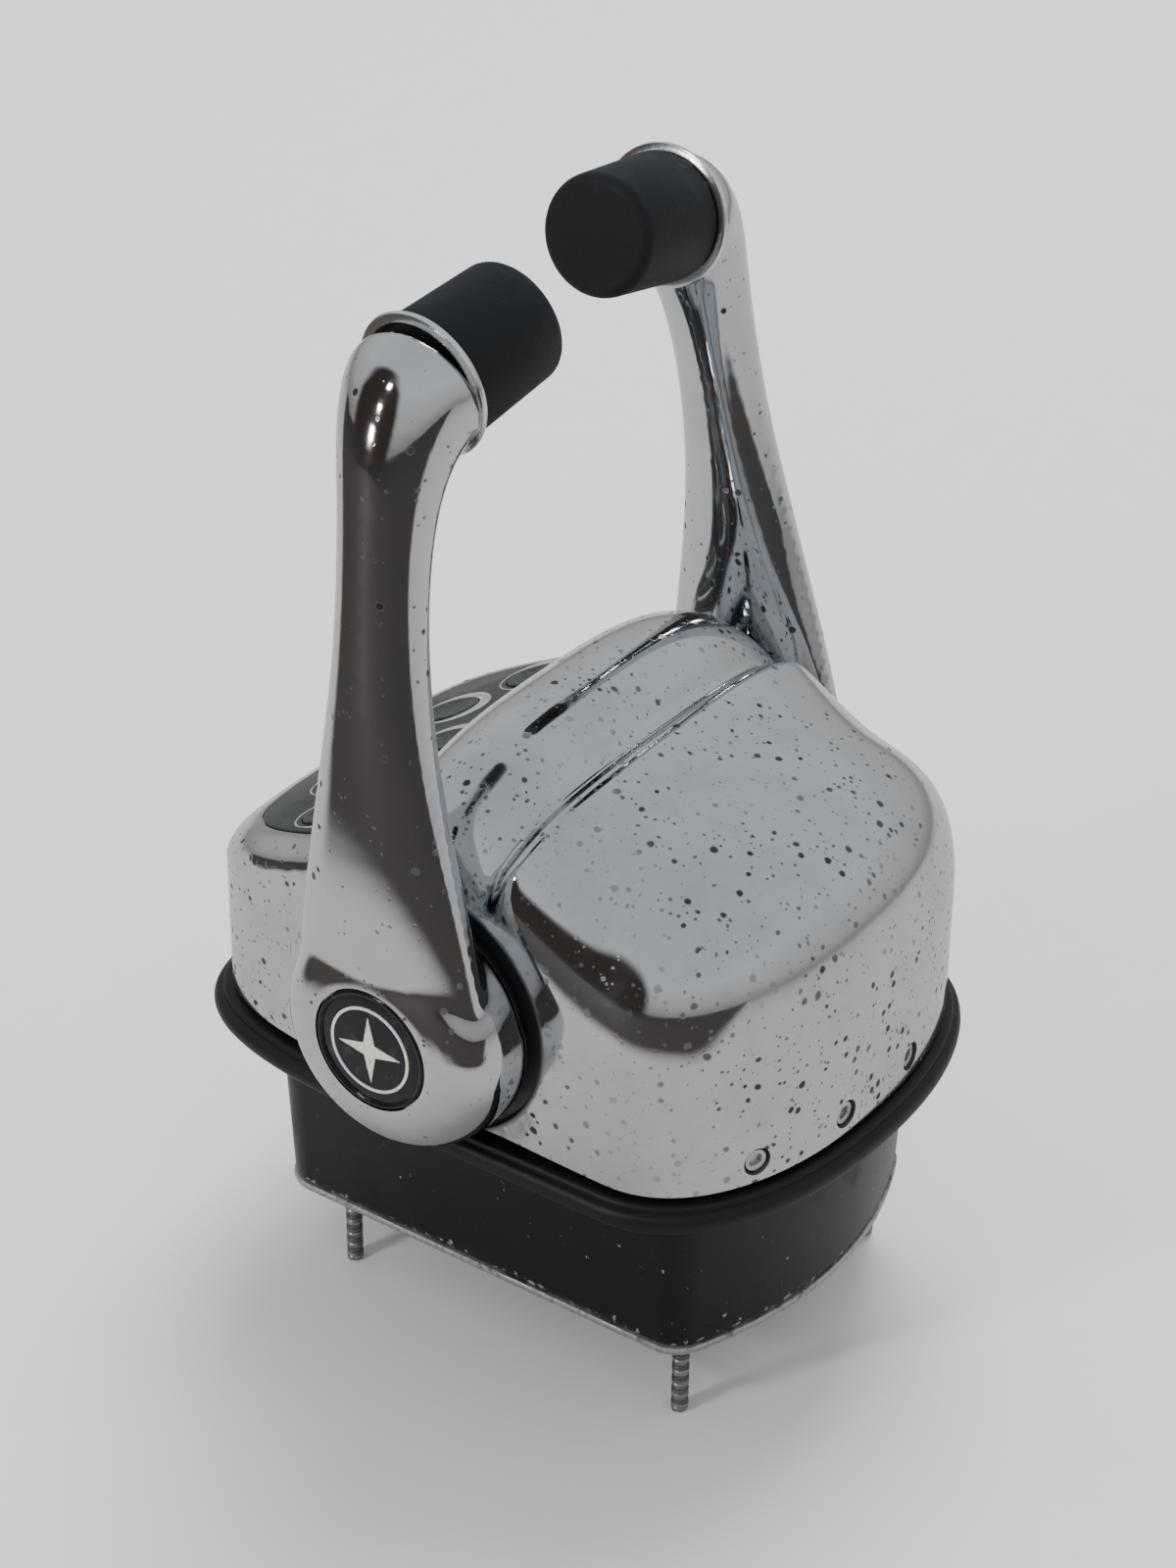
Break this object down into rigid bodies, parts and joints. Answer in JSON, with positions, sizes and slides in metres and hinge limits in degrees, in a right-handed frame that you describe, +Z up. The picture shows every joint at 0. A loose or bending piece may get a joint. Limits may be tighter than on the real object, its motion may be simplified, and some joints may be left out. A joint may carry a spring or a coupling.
{
  "type": "marine engine control head",
  "caption": "Twin-lever engine control head: chromed domed housing with a sloping keypad, two tall swinging levers with inward grips, deck gasket, case and studs below.",
  "frame": {"origin": "middle of the footprint, on the plane of the stud tips", "axes": "+Z up through the levers, +X to the starboard lever along the pivot, +Y ahead to the domed end, away from the keypad"},
  "size_m": [0.168, 0.1698, 0.2714],
  "materials": {
    "chrome": "polished chrome plate with fine pits and scratches",
    "gasket_rubber": "satin moulded rubber",
    "case_paint": "satin black paint",
    "bare_plate": "bare, stained",
    "steel": "plain steel",
    "keypad_film": "dark textured membrane",
    "key_face": "dark textured key with a silver ring",
    "board": "green board",
    "grip_plastic": "matte black",
    "badge_resin": "gloss black resin",
    "spacer": "black nylon",
    "brass": "machined"
  },
  "bodies": {
    "base": {"upper_housing": "chrome", "deck_gasket": "gasket_rubber", "lower_case": "case_paint", "base_plate": "bare_plate", "mounting_stud_1": "steel", "mounting_stud_2": "steel", "mounting_stud_3": "steel", "mounting_stud_4": "steel", "adjuster_screw_1": "steel", "adjuster_screw_2": "steel", "adjuster_screw_3": "steel", "adjuster_screw_4": "steel", "connector_port": "case_paint", "connector_starboard": "case_paint", "keypad_panel": "keypad_film", "keypad_board": "board", "bearing_block": "steel", "circuit_board": "board", "shaft_bush_starboard": "brass", "hub_spacer_starboard": "spacer", "sensor_body_starboard": "case_paint", "detent_spring_starboard": "steel", "shaft_bush_port": "brass", "hub_spacer_port": "spacer", "sensor_body_port": "case_paint", "detent_spring_port": "steel"},
    "lever_starboard": {"lever_arm_starboard": "chrome", "grip_starboard": "grip_plastic", "hub_badge_starboard": "badge_resin", "hub_bolt_starboard": "steel", "lever_shaft_starboard": "steel", "drive_gear_starboard": "brass", "detent_disc_starboard": "steel"},
    "sensor_starboard": {"sensor_pinion_starboard": "brass"},
    "plunger_starboard": {"detent_plunger_starboard": "steel"},
    "lever_port": {"lever_arm_port": "chrome", "grip_port": "grip_plastic", "hub_badge_port": "badge_resin", "hub_bolt_port": "steel", "lever_shaft_port": "steel", "drive_gear_port": "brass", "detent_disc_port": "steel"},
    "sensor_port": {"sensor_pinion_port": "brass"},
    "plunger_port": {"detent_plunger_port": "steel"},
    "key_1": {"key_1": "key_face"},
    "key_2": {"key_2": "key_face"},
    "key_3": {"key_3": "key_face"},
    "key_4": {"key_4": "key_face"},
    "key_5": {"key_5": "key_face"}
  },
  "joints": [
    {"name": "lever_starboard_swing", "type": "hinge", "parent": "base", "child": "lever_starboard", "pos_m": [0, -0.002, 0.1035], "axis": [-1, 0, 0], "range_deg": [-63, 67]},
    {"name": "sensor_starboard_spin", "type": "hinge", "parent": "base", "child": "sensor_starboard", "pos_m": [0, 0.0206, 0.1035], "axis": [-1, 0, 0], "range_deg": [-150, 150]},
    {"name": "plunger_starboard_slide", "type": "slide", "parent": "base", "child": "plunger_starboard", "axis": [0, 0, 1], "range_m": [0, 0.001], "stiffness_N_per_m": 400, "springref_m": -0.002, "deforming": ["detent_spring_starboard"]},
    {"name": "lever_port_swing", "type": "hinge", "parent": "base", "child": "lever_port", "pos_m": [0, -0.002, 0.1035], "axis": [-1, 0, 0], "range_deg": [-58, 72]},
    {"name": "sensor_port_spin", "type": "hinge", "parent": "base", "child": "sensor_port", "pos_m": [0, 0.0206, 0.1035], "axis": [-1, 0, 0], "range_deg": [-150, 150]},
    {"name": "plunger_port_slide", "type": "slide", "parent": "base", "child": "plunger_port", "axis": [0, 0, 1], "range_m": [0, 0.001], "stiffness_N_per_m": 400, "springref_m": -0.002, "deforming": ["detent_spring_port"]},
    {"name": "key_1_press", "type": "slide", "parent": "base", "child": "key_1", "axis": [0, 0.3872, -0.922], "range_m": [0, 0.0008], "stiffness_N_per_m": 600, "springref_m": -0.001},
    {"name": "key_2_press", "type": "slide", "parent": "base", "child": "key_2", "axis": [0, 0.3872, -0.922], "range_m": [0, 0.0008], "stiffness_N_per_m": 600, "springref_m": -0.001},
    {"name": "key_3_press", "type": "slide", "parent": "base", "child": "key_3", "axis": [0, 0.3872, -0.922], "range_m": [0, 0.0008], "stiffness_N_per_m": 600, "springref_m": -0.001},
    {"name": "key_4_press", "type": "slide", "parent": "base", "child": "key_4", "axis": [0, 0.3872, -0.922], "range_m": [0, 0.0008], "stiffness_N_per_m": 600, "springref_m": -0.001},
    {"name": "key_5_press", "type": "slide", "parent": "base", "child": "key_5", "axis": [0, 0.3872, -0.922], "range_m": [0, 0.0008], "stiffness_N_per_m": 600, "springref_m": -0.001}
  ],
  "couplings": [
    {"joint": "sensor_starboard_spin", "follows": "lever_starboard_swing", "ratio": -2},
    {"joint": "sensor_port_spin", "follows": "lever_port_swing", "ratio": -2}
  ]
}
